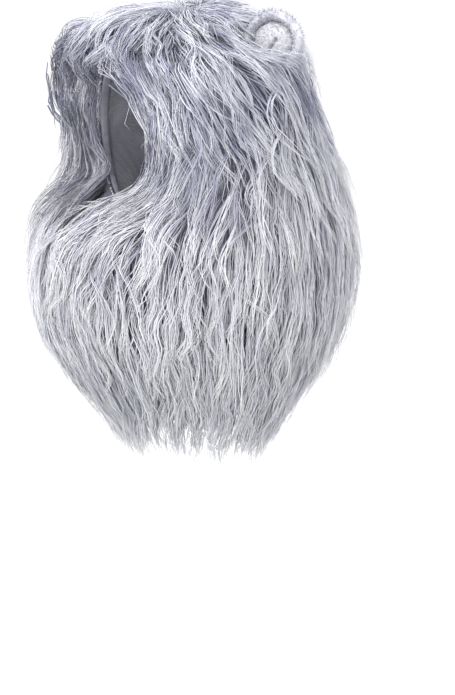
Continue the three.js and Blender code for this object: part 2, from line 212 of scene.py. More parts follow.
def through(values, share):
    """A smooth curve through evenly spaced values at shares 0 to 1: a uniform Catmull-Rom cubic
    of the four values round each place."""
    ends = np.concatenate([[2 * values[0] - values[1]], values, [2 * values[-1] - values[-2]]])
    place = np.clip(share, 0, 1) * (len(values) - 1)
    i = np.minimum(place.astype(int), len(values) - 2)
    t = place - i
    a, b, c, d = ends[i], ends[i + 1], ends[i + 2], ends[i + 3]
    bend, twist = 2 * a - 5 * b + 4 * c - d, 3 * b - a - 3 * c + d
    return 0.5 * (2 * b + (c - a) * t + bend * t**2 + twist * t**3)


def unit(vectors):
    """Vectors of length 1 in the same directions."""
    return vectors / np.maximum(np.linalg.norm(vectors, axis=-1, keepdims=True), 1e-9)


def tube_inside(place, angle):
    """The hood's inner surface: ovals through a front and a back point, counted along the table
    in rows, with angle 0 at the back of an oval."""
    share = place / (len(HOOD_LOOPS) - 1)
    columns = zip(HOOD_LOOPS.T, (HOOD_REACH, HOOD_DROP, HOOD_REACH, HOOD_DROP, HOOD_HALF_WIDTH))
    front_y, front_z, back_y, back_z, wide = (through(c, share) * size for c, size in columns)
    swing = np.cos(angle)
    y = 0.5 * (front_y + back_y) + 0.5 * (back_y - front_y) * swing
    z = 0.5 * (front_z + back_z) + 0.5 * (back_z - front_z) * swing
    return np.stack(np.broadcast_arrays(wide * np.sin(angle), y, z), -1)


def tube_frame(place, angle):
    """Directions at a point of the hood's surface: on along the hood, round it, and out of it."""
    step = 1e-3
    along = unit(tube_inside(place + step, angle) - tube_inside(place - step, angle))
    round_it = unit(tube_inside(place, angle + step) - tube_inside(place, angle - step))
    return along, round_it, unit(np.cross(round_it, along))


def tube_point(place, angle, grown):
    """A point of the hood's surface moved out of it along its normal."""
    _, _, out = tube_frame(place, angle)
    return tube_inside(place, angle) + out * np.asarray(grown)[..., None]


def place_beside(loop, angle, length):
    """The place in rows that lies a length along the wall from a loop."""
    step = np.sign(length) * 0.2
    gone = tube_inside(loop + step, angle) - tube_inside(loop, angle)
    return loop + length * 0.2 / np.linalg.norm(gone, axis=-1)


def mane_sizes(share):
    """Height, reach to the front, side and back, and power of the mane's curve at a share."""
    height, front, side, back, power = (through(column, share) for column in MANE_LEVELS.T)
    z = height * np.where(height > 0, MANE_RISE, MANE_FALL)
    return z, front * MANE_FRONT, side * MANE_SIDE, back * MANE_BACK, power


def mane_reach(angle, share):
    """How far the mane reaches from its axis at an angle round from the front: a superellipse
    of its front or back reach and its side reach."""
    z, front, side, back, square = mane_sizes(share)
    ahead, aside = np.cos(angle), np.sin(angle)
    along = np.where(ahead > 0, front, back)
    power = np.where(ahead > 0, square, 2)
    total = np.abs(ahead / along) ** power + np.abs(aside / side) ** power
    return total ** (-1 / power), z


def ease(value, low, high):
    """0 below low, 1 above high and a smooth cubic between them."""
    t = np.clip((value - low) / (high - low), 0, 1)
    return t * t * (3 - 2 * t)


def face_dish(x, y, z):
    """How far the fur beside the face lies back from the mane's outline: all of the dish near
    the opening, fading out to the sides, above the brow, below the chin and behind the face."""
    beside = 1 - ease(np.abs(x), 0.084, MANE_SIDE)
    height = ease(z, -0.239, -0.166) * (1 - ease(z, -0.04, 0.024))
    return FACE_DISH * beside * height * ease(-y, 0.025, 0.084)


def mane_point(angle, share, depth):
    """A point at an angle and a share of the way down the mane, dished at the face and moved a
    depth to the mane's heart."""
    reach, z = mane_reach(angle, share)
    x, y = reach * np.sin(angle), MANE_AXIS_Y - reach * np.cos(angle)
    p = np.stack(np.broadcast_arrays(x, y + face_dish(x, y, z), z), -1)
    return p - unit(p - MANE_HEART) * np.asarray(depth)[..., None]


class Ways:
    """Lengths down the mane: for each angle the share of the way down at each length."""

    def __init__(self, angles=181, shares=321):
        self.angle = np.linspace(-np.pi, np.pi, angles)
        share = np.linspace(0, 1, shares)
        points = mane_point(self.angle[:, None], share[None, :], 0.0)
        steps = np.linalg.norm(np.diff(points, axis=1), axis=-1)
        run = np.concatenate([np.zeros((angles, 1)), np.cumsum(steps, 1)], 1)
        self.total = run[:, -1]
        self.share = np.stack([np.interp(share * r[-1], r, share) for r in run])

    def whole(self, angle):
        """The whole length down the mane at an angle."""
        return np.interp((angle + np.pi) % (2 * np.pi) - np.pi, self.angle, self.total)

    def share_at(self, angle, run):
        """The share of the way down after a length, read between the table's rows."""
        x = ((angle + np.pi) % (2 * np.pi)) / (2 * np.pi) * (len(self.angle) - 1)
        y = np.clip(run / self.whole(angle), 0, 1) * (self.share.shape[1] - 1)
        i = np.minimum(x.astype(int), self.share.shape[0] - 2)
        j = np.minimum(y.astype(int), self.share.shape[1] - 2)
        u, v = x - i, y - j
        low = self.share[i, j] * (1 - v) + self.share[i, j + 1] * v
        high = self.share[i + 1, j] * (1 - v) + self.share[i + 1, j + 1] * v
        return low * (1 - u) + high * u


WAYS = Ways()


def inside_mane(points, depth):
    """Whether points lie under the mane's outline by more than a depth: each is moved out from
    the heart by the depth, and its distance from the axis compared with the reach there."""
    moved = points + unit(points - MANE_HEART) * depth
    table = np.linspace(0, 1, 600)
    heights = mane_sizes(table)[0]
    share = np.interp(-moved[..., 2], -heights, table)
    across, y, z = moved[..., 0], moved[..., 1], moved[..., 2]
    ahead = MANE_AXIS_Y - (y - face_dish(across, y - 0.5 * FACE_DISH, z))
    reach, _ = mane_reach(np.arctan2(across, ahead), share)
    level = (moved[..., 2] < MANE_RISE) & (moved[..., 2] > -MANE_FALL)
    return level & (np.hypot(across, ahead) < reach)


def to_outline(start, direction, depth, least, most):
    """How far from start along direction the mane's outline at a depth lies, by halving."""
    low, high = np.full(start.shape[:-1], least), np.full(start.shape[:-1], most)
    for _ in range(16):
        middle = 0.5 * (low + high)
        within = inside_mane(start + direction * middle[..., None], depth)
        low, high = np.where(within, middle, low), np.where(within, high, middle)
    return low


def settled(lengths, rounds=12):
    """A grid of lengths with its ridges taken down: each is kept under the mean of its four
    neighbours, round after round."""
    for _ in range(rounds):
        ends = np.concatenate([lengths[:1], lengths, lengths[-1:]])
        mean = (ends[:-2] + ends[2:] + np.roll(lengths, 1, 1) + np.roll(lengths, -1, 1)) / 4
        lengths = np.minimum(lengths, mean + 0.0006)
    return lengths


def ripple(points, scale, seed):
    """A soft uneven field over points: 1.6 times the mean of eight sine waves in seeded
    directions, with wavelengths round the scale."""
    rng = np.random.default_rng(seed)
    ways = unit(rng.normal(size=(8, 3))) * 2 * np.pi / scale * rng.uniform(0.7, 1.4, (8, 1))
    return np.sin(points @ ways.T + rng.uniform(0, 6.28, 8)).mean(-1) * 1.6


NO_TRIANGLES = np.zeros((0, 3), int)


def build_mesh(name, points, quads, triangles=NO_TRIANGLES, uv=None):
    """A smooth mesh object from whole arrays. uv holds one pair for each point."""
    corners = np.concatenate([quads.ravel(), triangles.ravel()]).astype(np.int32)
    counts = np.repeat([4, 3], [len(quads), len(triangles)])
    mesh = bpy.data.meshes.new(name)
    mesh.vertices.add(len(points))
    mesh.vertices.foreach_set("co", points.astype(np.float32).ravel())
    mesh.loops.add(len(corners))
    mesh.loops.foreach_set("vertex_index", corners)
    mesh.polygons.add(len(counts))
    mesh.polygons.foreach_set("loop_start", (np.cumsum(counts) - counts).astype(np.int32))
    mesh.polygons.foreach_set("use_smooth", np.full(len(counts), True))
    mesh.update(calc_edges=True)
    mesh.validate()
    if uv is not None:
        layer = mesh.uv_layers.new(name="OFBake")
        layer.uv.foreach_set("vector", uv[corners].astype(np.float32).ravel())
    piece = bpy.data.objects.new(name, mesh)
    bpy.context.scene.collection.objects.link(piece)
    return piece


def grid_faces(rows, sides, rows_close):
    """Four-sided faces between neighbouring rows of a grid that closes round its rows."""
    i = np.arange(rows if rows_close else rows - 1)[:, None]
    j = np.arange(sides)[None, :]
    this, below, beside = i * sides, (i + 1) % rows * sides, (j + 1) % sides
    corners = np.broadcast_arrays(this + j, this + beside, below + beside, below + j)
    return np.stack(corners, -1).reshape(-1, 4)


def outward(points, quads, triangles=NO_TRIANGLES):
    """Faces turned so that the closed surface has a positive volume."""
    a, b, c = np.concatenate([quads[:, :3], quads[:, [0, 2, 3]], triangles]).T
    volume = np.einsum("ij,ij->", points[a], np.cross(points[b], points[c]))
    return (quads[:, ::-1], triangles[:, ::-1]) if volume < 0 else (quads, triangles)


def ring_shell(name, grid):
    """A closed ring-shaped surface from a grid of rows that closes both ways."""
    rows, sides, _ = grid.shape
    points = grid.reshape(-1, 3)
    quads, _ = outward(points, grid_faces(rows, sides, True))
    return build_mesh(name, points, quads)


def lathe(name, profile, sides, place, shape=None):
    """A profile turned round its axis and set in place. Its first and last points lie on the
    axis and close it. shape may move the points, given in the lathe's own directions."""
    angle = np.linspace(0, 2 * np.pi, sides, endpoint=False)
    ring = profile[1:-1]
    across, front = ring[:, :1], np.repeat(ring[:, 1:], sides, 1)
    points = np.stack([across * np.sin(angle), front, across * np.cos(angle)], -1).reshape(-1, 3)
    poles = np.array([[0, profile[0, 1], 0], [0, profile[-1, 1], 0]])
    points = np.concatenate([points, poles])
    if shape is not None:
        points = shape(points)
    quads = grid_faces(len(ring), sides, False)
    j = np.arange(sides)
    k = (j + 1) % sides
    first, last = np.full((2, sides), [[len(points) - 2], [len(points) - 1]])
    end = (len(ring) - 1) * sides
    caps = [np.stack([first, k, j], 1), np.stack([last, end + j, end + k], 1)]
    quads, triangles = outward(points, quads, np.concatenate(caps))
    return build_mesh(name, place(points), quads, triangles)


def strand_mesh(name, paths, width, shade, out, young=0.0):
    """Closed hairs along paths of n points each: three-sided sections, flattened to the fur,
    with the width a curve from the root over the middle to a point at the tip. young is the
    place along a hair whose colour its root takes."""
    n, rings, _ = paths.shape
    t = np.linspace(0, 1, rings)
    along = unit(np.gradient(paths, axis=1))
    across = unit(np.cross(along, out))
    up = np.cross(across, along)
    full = (0.7 + 0.3 * np.sin(np.pi * np.minimum(1, t * 1.4))) * np.sqrt(np.maximum(0, 1 - t**3))
    half = 0.5 * width[:, None] * full
    turn = np.radians([90, 210, 330])
    body = (
        paths[:, :-1, None, :]
        + across[:, :-1, None, :] * (half[:, :-1, None] * np.cos(turn))[..., None]
        + up[:, :-1, None, :] * (HAIR_FLATNESS * half[:, :-1, None] * np.sin(turn))[..., None]
    )
    each = (rings - 1) * 3 + 1
    points = np.concatenate([body.reshape(n, -1, 3), paths[:, -1:, :]], 1).reshape(-1, 3)
    base = (np.arange(n) * each)[:, None]
    i, k = np.meshgrid(np.arange(rings - 2), np.arange(3), indexing="ij")
    i, k = i.ravel(), k.ravel()
    m = (k + 1) % 3
    one = np.stack([i * 3 + k, (i + 1) * 3 + k, (i + 1) * 3 + m, i * 3 + m], -1)
    quads = (base[:, :, None] + one[None]).reshape(-1, 4)
    tip = each - 1
    a, b, c = tip - 3, tip - 2, tip - 1
    ends = np.array([(0, 1, 2), (a, tip, b), (b, tip, c), (c, tip, a)])
    triangles = (base[:, :, None] + ends[None]).reshape(-1, 3)
    v = np.concatenate([np.repeat(t[:-1], 3), [1.0]])[None, :] * 0.98 + 0.01
    v = v + np.reshape(young, (-1, 1)) * (0.99 - v)
    beside = np.concatenate([np.tile([0, 1, 2], rings - 1), [1]])[None, :]
    u = shade[:, None] * 0.97 + 0.006 * beside + 0.005
    uv = np.stack(np.broadcast_arrays(u, v), -1).reshape(-1, 2)
    return build_mesh(name, points, quads, triangles, uv)


def round_the_face(angle, share):
    """Angles pushed out to the sides of the face opening: the cube root of the sum of the cubes
    of the angle and of the opening's half angle at that height."""
    z, front, _, _, _ = mane_sizes(share)
    level = np.clip(1 - ((z - FACE_MIDDLE) / FACE_HALF_HEIGHT) ** 2, 0, 1)
    half = np.arctan2(FACE_HALF_WIDTH * np.sqrt(level), front)
    return np.sign(angle) * (np.abs(angle) ** 3 + half**3) ** (1 / 3)


def nap(angle, start):
    """How far round the mane the fur is brushed over a lock's length: back from the temples
    along the neck, forward over the throat, and straight down below."""
    off = np.abs(angle)
    back = ease(off, 0.5, 1.45) * (1 - ease(off, 2.3, 3.0)) * (1 - ease(start, 0.18, 0.38))
    throat = (1 - ease(off, 0.95, 1.5)) * ease(start, 0.22, 0.3) * (1 - ease(start, 0.36, 0.46))
    brow = (1 - ease(off, 0.6, 0.95)) * (1 - ease(start, 0.1, 0.2))
    sweep = SWEEP_BACK * back - SWEEP_THROAT * throat - SWEEP_BROW * brow
    return np.sign(angle) * np.minimum(1, off / 0.5) * sweep


def brushed(points):
    """Points moved back at the left temple and forward at the right one, where the fur stands
    out: smooth cubics of the way across, of the way forward and of the height."""
    x, y, z = points[..., 0], points[..., 1], points[..., 2]
    temple = ease(np.abs(x), 0.088, 0.12) * (1 - ease(np.abs(x), 0.16, 0.21)) * ease(-y, 0.03, 0.08)
    back = TEMPLE_BACK * ease(z, -0.18, -0.08) * (1 - ease(z, 0.0, 0.05))
    forward = TEMPLE_FORWARD * ease(z, -0.27, -0.15) * (1 - ease(z, 0.02, 0.065))
    moved = points.copy()
    moved[..., 1] += temple * np.where(x > 0, back, -forward)
    return moved


def lock_frames(angle, start, length, bend, lift, steps=33):
    """Centre lines of locks down the mane, with the directions across and out of the fur. A lock
    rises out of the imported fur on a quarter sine, sooner at the crown and the throat, lies near
    the outline, follows the nap and bends as a sine."""
    t = np.linspace(0, 1, steps)[None, :]
    run = start[:, None] + t * length[:, None]
    round_to = angle[:, None] + nap(angle, start)[:, None] * t**1.15
    round_to = round_to + bend[:, None] * np.sin(2.5 * t)
    share = WAYS.share_at(round_to, run)
    turned = round_the_face(round_to, share)
    throat = (1 - ease(np.abs(angle), 0.35, 0.7)) * (1 - ease(start, 0.4, 0.46))
    throat = throat * ease(start, 0.2, 0.3)
    buried = (ease(start, 0.0, 0.11) * (1 - throat))[:, None]
    rise = np.sin(0.5 * np.pi * np.minimum(1, t / (0.18 + 0.3 * buried)))
    crown = 1 - ease(start, 0.0, 0.11)[:, None]
    depth = (0.012 + 0.016 * buried + 0.01 * crown) * (1 - rise)
    depth += 0.002 + lift[:, None] * rise - 0.005 * t**3
    depth += 0.009 * ease(mane_sizes(share)[0], 0.0, 0.05)
    centre = brushed(mane_point(turned, share, depth))
    along = unit(np.gradient(centre, axis=1))
    out = unit(centre - MANE_HEART)
    across = unit(np.cross(along, out))
    return centre, across, np.cross(across, along)


def read_along(table, who, place):
    """Rows of a table of lines read at places between its points."""
    x = np.clip(place, 0, 1) * (table.shape[1] - 1)
    i = np.minimum(x.astype(int), table.shape[1] - 2)
    f = (x - i)[..., None]
    return table[who[:, None], i] * (1 - f) + table[who[:, None], i + 1] * f


def hairs_of(locks, frames, per_lock, rings, rng):
    """Hairs of locks: each lock holds smaller ones that draw together to the tip, and each hair
    swings about its own small lock with long waves of the lock and short ones of its own. The
    tone of a hair is that of its lock, its small lock and a little of its own."""
    centre, across, out = frames
    count = len(locks["width"])
    who = np.repeat(np.arange(count), per_lock)
    n = len(who)
    small = rng.integers(0, SMALL_LOCKS, n)
    seat = rng.uniform(-1, 1, (count, SMALL_LOCKS, 2))
    small_length = rng.uniform(0.74, 1.06, (count, SMALL_LOCKS))
    phase = rng.uniform(0, 6.28, (count, SMALL_LOCKS, 2))
    t = np.linspace(0, 1, rings)[None, :]
    begin = (rng.random(n) * locks["late"][who])[:, None]
    finish = small_length[who, small] * rng.uniform(0.86, 1.0, n)
    finish = np.clip(finish[:, None], begin + 0.4, 1)
    place = begin + (finish - begin) * t
    wide = locks["width"][who, None]
    side = seat[who, small, 0][:, None]
    deep = seat[who, small, 1][:, None]
    own = rng.normal(0, 0.5, (n, 2))
    wave = 6.28 * place * locks["length"][who, None] / locks["pitch"][who, None]
    swing = locks["swing"][who, None] * place**1.2
    x = 0.5 * wide * side * (1 - 0.4 * place**1.4)
    x += 0.13 * wide * own[:, :1] * (1 - 0.86 * place**1.3)
    x += swing * np.sin(wave + locks["phase"][who, None])
    x += 0.45 * swing * np.sin(1.6 * wave + phase[who, small, 0][:, None])
    y = 0.006 * deep * (1 - 0.4 * place) + 0.003 * own[:, 1:] * (1 - 0.6 * place)
    y -= 0.007 * side**2 * np.sin(np.pi * np.minimum(1, place * 1.2))
    y += 0.4 * swing * np.cos(wave + phase[who, small, 1][:, None])
    stray = rng.random(n) < 0.1
    x += np.where(stray, rng.normal(0, 0.016, n), 0)[:, None] * place**1.6
    y += np.where(stray, rng.uniform(0.001, 0.007, n), 0)[:, None] * place**1.5
    fine = rng.uniform(0, 6.28, (n, 2, 1))
    x += 0.0008 * np.sin(fine[:, 0] + 23 * place)
    y += 0.0006 * np.sin(fine[:, 1] + 21 * place)
    paths = read_along(centre, who, place) + read_along(across, who, place) * x[..., None]
    paths += read_along(out, who, place) * y[..., None]
    tone = 0.11 * rng.normal(size=count)[who]
    tone += 0.12 * rng.normal(size=(count, SMALL_LOCKS))[who, small]
    tone = np.clip(0.5 + tone + 0.07 * rng.normal(size=n), 0, 1)
    return held_in(clear_of_ears(paths)), who, read_along(out, who, place), stray, tone


def lock_rows(runs, spacing, rng):
    """Where locks start: in rows down the mane, each row shifted by half a lock from the last."""
    angles, starts = [], []
    for row, run in enumerate(runs):
        ring = mane_point(WAYS.angle, WAYS.share_at(WAYS.angle, run), 0.0)
        count = max(6, int(np.linalg.norm(np.diff(ring, axis=0), axis=1).sum() / spacing))
        each = (np.arange(count) + 0.5 * (row % 2) + rng.uniform(-0.3, 0.3, count)) / count
        angles.append(2 * np.pi * each - np.pi)
        starts.append(run + rng.uniform(-0.013, 0.013, count))
    return np.concatenate(angles), np.maximum(np.concatenate(starts), 0.001)


def off_the_face(angle, start, rng):
    """Which locks start beside the face opening, with most of those at its very edge."""
    z = mane_sizes(WAYS.share_at(angle, start))[0]
    before_face = (np.abs(angle) < 0.42) & (z < 0.012) & (z > -0.2)
    return ~before_face | ((np.abs(angle) > 0.3) & (rng.random(len(angle)) < 0.8))


def fringe(angle, start, length, rng):
    """Lengths of locks, with those above the face opening cut to end over the brow."""
    brow = (np.abs(angle) < 0.45) & (start < 0.16)
    short = 0.205 - start + rng.uniform(-0.02, 0.012, len(angle))
    return np.where(brow, np.minimum(length, short), length)


def clear_of_ears(points):
    """Fur pushed out of a ball in front of each ear, so that the ear shows over a dip: a point's
    distance from the middle of the ball becomes the fourth root of the sum of the fourth powers
    of that distance and of the ball's radius."""
    for side in (1, -1):
        basis, seat = ear_frame(side)
        middle = seat + np.array([0, EAR_DIP_FRONT, EAR_DIP_UP]) @ basis
        off = points - middle
        reach = np.linalg.norm(off, axis=-1, keepdims=True) + 1e-6
        points = middle + off * (reach**4 + EAR_DIP**4) ** 0.25 / reach
    return points


def held_in(points):
    """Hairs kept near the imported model: half of what reaches further past its box than the free
    reach is taken back."""
    inside = np.clip(points, np.array(CAD_BOX[0]) - FREE_REACH, np.array(CAD_BOX[1]) + FREE_REACH)
    return inside + 0.5 * (points - inside)


def principled(name):
    """A material with its shader, ready for nodes."""
    material = bpy.data.materials.new(name)
    material.use_nodes = True
    tree = material.node_tree
    return material, tree, tree.nodes["Principled BSDF"]


def feed(tree, socket, value):
    """Links a socket to an input, or sets the input to a value."""
    if isinstance(value, bpy.types.NodeSocket):
        tree.links.new(value, socket)
    else:
        socket.default_value = value


def set_inputs(tree, node, **values):
    """A node with its named inputs fed. An underscore stands for a space."""
    for key, value in values.items():
        feed(tree, node.inputs[key.replace("_", " ")], value)
    return node


def add(tree, kind, **values):
    """A new node with its named inputs fed."""
    return set_inputs(tree, tree.nodes.new(kind), **values)


def add_group(tree, group, **values):
    """A new node of a group with its named inputs fed."""
    node = tree.nodes.new("ShaderNodeGroup")
    node.node_tree = group
    return set_inputs(tree, node, **values)


def object_place(tree):
    """Object coordinates."""
    return tree.nodes.new("ShaderNodeTexCoord").outputs["Object"]


def stretched(tree, by):
    """Object coordinates times a vector socket or three numbers."""
    node = tree.nodes.new("ShaderNodeVectorMath")
    node.operation = "MULTIPLY"
    feed(tree, node.inputs[0], object_place(tree))
    feed(tree, node.inputs[1], by)
    return node.outputs[0]


def group_of(name, inputs, outputs):
    """An empty shader node group with named inputs and outputs."""
    tree = bpy.data.node_groups.new(name, "ShaderNodeTree")
    for label, kind, value in inputs:
        tree.interface.new_socket(label, in_out="INPUT", socket_type=kind).default_value = value
    for label, kind in outputs:
        tree.interface.new_socket(label, in_out="OUTPUT", socket_type=kind)
    return tree, tree.nodes.new("NodeGroupInput"), tree.nodes.new("NodeGroupOutput")


def mix(tree, mode, factor, a, b):
    """A colour mix of two sockets or colours by a socket or number."""
    node = tree.nodes.new("ShaderNodeMix")
    node.data_type = "RGBA"
    node.blend_type = mode
    for k, value in ((0, factor), (6, a), (7, b)):
        feed(tree, node.inputs[k], value)
    return node.outputs[2]


def ranged(tree, value, low, high, to_low=0.0, to_high=1.0):
    """A value carried from one range to another and kept inside it."""
    node = tree.nodes.new("ShaderNodeMapRange")
    node.interpolation_type = "SMOOTHSTEP"
    for k, given in enumerate((value, low, high, to_low, to_high)):
        feed(tree, node.inputs[k], given)
    return node.outputs[0]


def product(tree, value, *factors):
    """A value times further values, kept between 0 and 1."""
    for factor in factors:
        node = tree.nodes.new("ShaderNodeMath")
        node.operation = "MULTIPLY"
        node.use_clamp = True
        feed(tree, node.inputs[0], value)
        feed(tree, node.inputs[1], factor)
        value = node.outputs[0]
    return value


def hair_group():
    """Colour along a hair: from a root darkened as painted shade, less so lower down, over its
    middle to its tip, darker or paler from hair to hair with more painted shade on the darker hairs
    towards the crown, painted shade in soft slate patches that grow towards the crown, and painted
    shade by height, darker and bluer at the crown and darker at the bottom."""
    if "hair colour" in bpy.data.node_groups:
        return bpy.data.node_groups["hair colour"]
    tree, given, gives = group_of(
        "hair colour",
        [
            ("Root", "NodeSocketColor", (0.1, 0.1, 0.15, 1)),
            ("Middle", "NodeSocketColor", (0.5, 0.5, 0.56, 1)),
            ("Tip", "NodeSocketColor", (0.75, 0.75, 0.8, 1)),
            ("Shadow Hair", "NodeSocketColor", (0.2, 0.2, 0.28, 1)),
            ("Spread", "NodeSocketFloat", 0.6),
        ],
        [("Colour", "NodeSocketColor")],
    )
    map_uv = tree.nodes.new("ShaderNodeUVMap")
    map_uv.uv_map = "OFBake"
    split = add(tree, "ShaderNodeSeparateXYZ", Vector=map_uv.outputs[0])
    place = add(tree, "ShaderNodeSeparateXYZ", Vector=object_place(tree))
    shade, along, height = split.outputs[0], split.outputs[1], place.outputs[2]
    # Painted shade at the roots: the Root colour darkens each hair's root where the fur is deep,
    # and lower down pale_root lifts it towards the middle colour.
    pale_root = ranged(tree, height, -0.09, -0.26, 0.0, 0.75)
    colour = mix(tree, "MIX", pale_root, given.outputs["Root"], given.outputs["Middle"])
    colour = mix(tree, "MIX", ranged(tree, along, 0.08, 0.5), colour, given.outputs["Middle"])
    colour = mix(tree, "MIX", ranged(tree, along, 0.45, 0.95), colour, given.outputs["Tip"])
    # The darker hairs at random take the shadow colour, with more of it towards the crown as
    # painted shade.
    dark = ranged(tree, shade, 0.42, 0.0)
    crown_shade = ranged(tree, height, -0.3, -0.08, 0.65, 1.6)
    share = product(tree, dark, given.outputs["Spread"], crown_shade)
    colour = mix(tree, "MIX", share, colour, given.outputs["Shadow Hair"])
    # Painted shade: soft slate patches of the shadow colour stand for the shade between big locks.
    # They are strongest towards the crown and faint at the tips.
    drawn = stretched(tree, (1, 1, 0.4))
    patches = add(tree, "ShaderNodeTexNoise", Scale=22.0, Detail=2.0, Vector=drawn)
    shade_patch = ranged(tree, patches.outputs["Fac"], 0.51, 0.64, 0.0, 0.8)
    below_tip = ranged(tree, along, 0.95, 0.5, 0.25, 1.0)
    above = ranged(tree, height, -0.36, -0.12, 0.2, 1.0)
    share = product(tree, shade_patch, below_tip, above)
    colour = mix(tree, "MIX", share, colour, given.outputs["Shadow Hair"])
    bright = ranged(tree, shade, 0.6, 1.0, 0.0, 0.35)
    colour = mix(tree, "MIX", bright, colour, (0.9, 0.9, 0.93, 1))
    # Painted shade by height: the crown darker and bluer, the bottom darker where the light falls
    # off.
    crown, bottom = ranged(tree, height, -0.26, -0.04), ranged(tree, height, -0.3, -0.46)
    height_shade = mix(tree, "MIX", crown, (1.0, 1.0, 0.975, 1), (0.91, 0.915, 0.94, 1))
    height_shade = mix(tree, "MIX", bottom, height_shade, (0.82, 0.825, 0.81, 1))
    colour = mix(tree, "MULTIPLY", 1.0, colour, height_shade)
    set_inputs(tree, gives, Colour=colour)
    return tree


def fur_material(name, root, middle, tip, shadow, roughness=0.5):
    """Synthetic hair: a soft gloss over the colours of the hair group."""
    material, tree, shader = principled(name)
    colours = {"Root": root, "Middle": middle, "Tip": tip, "Shadow_Hair": shadow}
    colours = {label: (*value, 1) for label, value in colours.items()}
    node = add_group(tree, hair_group(), **colours)
    set_inputs(tree, shader, Base_Color=node.outputs["Colour"], Roughness=roughness)
    set_inputs(tree, shader, Sheen_Weight=0.25, Sheen_Roughness=0.4, Specular_IOR_Level=0.35)
    return material


def grain_group():
    """Uneven cloth or pile: two noises give a mask and a height, at a scale in bumps a metre."""
    if "pile grain" in bpy.data.node_groups:
        return bpy.data.node_groups["pile grain"]
    tree, given, gives = group_of(
        "pile grain",
        [("Scale", "NodeSocketFloat", 300.0), ("Stretch", "NodeSocketVector", (1, 1, 0.3))],
        [("Mask", "NodeSocketFloat"), ("Height", "NodeSocketFloat")],
    )
    near, scale = stretched(tree, given.outputs["Stretch"]), given.outputs["Scale"]
    fine = add(tree, "ShaderNodeTexNoise", Detail=4.0, Roughness=0.65, Vector=near, Scale=scale)
    coarse = add(tree, "ShaderNodeTexNoise", Scale=26.0, Detail=3.0, Vector=object_place(tree))
    mask = ranged(tree, coarse.outputs["Fac"], 0.35, 0.65)
    set_inputs(tree, gives, Mask=mask, Height=fine.outputs["Fac"])
    return tree


def bump(tree, height, strength, distance):
    """The direction of a surface that a height raises."""
    node = add(tree, "ShaderNodeBump", Height=height, Strength=strength, Distance=distance)
    return node.outputs[0]


def grained_material(name, dark, light, scale, distance, stretch=(1, 1, 1)):
    """Cloth or pile whose colour goes between two shades with the grain, with a fine bump."""
    material, tree, shader = principled(name)
    node = add_group(tree, grain_group(), Scale=scale, Stretch=stretch)
    height = node.outputs["Height"]
    share = mix(tree, "MIX", 0.55, node.outputs["Mask"], height)
    colour = mix(tree, "MIX", share, (*dark, 1), (*light, 1))
    set_inputs(tree, shader, Base_Color=colour, Normal=bump(tree, height, 0.6, distance))
    set_inputs(tree, shader, Roughness=0.9, Sheen_Weight=0.3, Specular_IOR_Level=0.2)
    return material


def knit_material(name, colour):
    """Knitted backing cloth: ribs of small loops from two crossed waves, with a light fleck."""
    material, tree, shader = principled(name)
    waves = []
    for direction, scale in (("X", 95.0), ("Z", 130.0)):
        wave = add(tree, "ShaderNodeTexWave", Scale=scale, Distortion=1.2, Detail=1.0)
        wave.bands_direction = direction
        waves.append(set_inputs(tree, wave, Vector=object_place(tree)).outputs["Fac"])
    loops = mix(tree, "MULTIPLY", 1.0, *waves)
    node = add_group(tree, grain_group(), Scale=260.0, Stretch=(1, 1, 1))
    share = mix(tree, "MIX", 0.5, loops, node.outputs["Mask"])
    shade = mix(tree, "MIX", share, (*(0.55 * c for c in colour), 1), (*colour, 1))
    set_inputs(tree, shader, Base_Color=shade, Normal=bump(tree, loops, 0.7, 0.0008))
    set_inputs(tree, shader, Roughness=0.95, Sheen_Weight=0.3)
    return material


def wear(piece, material, slot, *nodes):
    """Gives a piece its material and its body and hides the CAD nodes that it stands for. The slot
    is not used.
    """
    piece.data.materials.append(material)
    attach(piece, BODY)
    if nodes:
        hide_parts(*nodes)
    return piece


def fur_pieces(label, hairs, on_left, material, only=True):
    """Hairs as two pieces, those on the left and those on the right of the crown's seam. hairs
    holds the arrays that strand_mesh takes, and only says which of them belong."""
    for side, mine in (("left", only & on_left), ("right", only & ~on_left)):
        piece = strand_mesh(f"{label}_{side}", *(values[mine] for values in hairs))
        wear(piece, material, "long_fur", f"mane_panel_{side}")


def number_of(label, text, value, least):
    """A setting for a number of things."""
    return IntProperty(name=label, description=text, default=value, min=least)


def length_of(label, text, value):
    """A setting for a length in metres."""
    return FloatProperty(name=label, description=text, default=value, unit="LENGTH")


def colour_of(label, text, value):
    """A setting for a colour."""
    return FloatVectorProperty(name=label, description=text, default=value, subtype="COLOR")


class FurSettings(bpy.types.PropertyGroup):
    """Sizes and colours of the long fur."""

    hairs: number_of("Hairs", "Number of long hairs", 15700, 1000)
    undercoat: number_of("Undercoat", "Number of hairs under the locks", 2100, 100)
    width: length_of("Hair Width", "Width of a long hair", 0.00135)
    length: length_of("Lock Length", "Length of a lock", 0.185)
    lock: length_of("Lock Width", "Width of a lock", 0.048)
    swing: length_of("Wave", "How far a lock waves to each side", 0.0095)
    packed: length_of("Packed Depth", "Depth of the packed fur", 0.024)
    # Root and Shadow are painted shade: the dark roots deep in the fur, and the colour that the
    # darker hairs, the slate patches and the undercoat take.
    root: colour_of("Root", "Colour at the roots", (0.12, 0.12, 0.18))
    middle: colour_of("Middle", "Colour of the hairs", (0.59, 0.595, 0.66))
    tip: colour_of("Tip", "Colour at the tips", (0.775, 0.78, 0.815))
    shadow: colour_of("Shadow", "Colour of the dark hairs", (0.23, 0.23, 0.33))


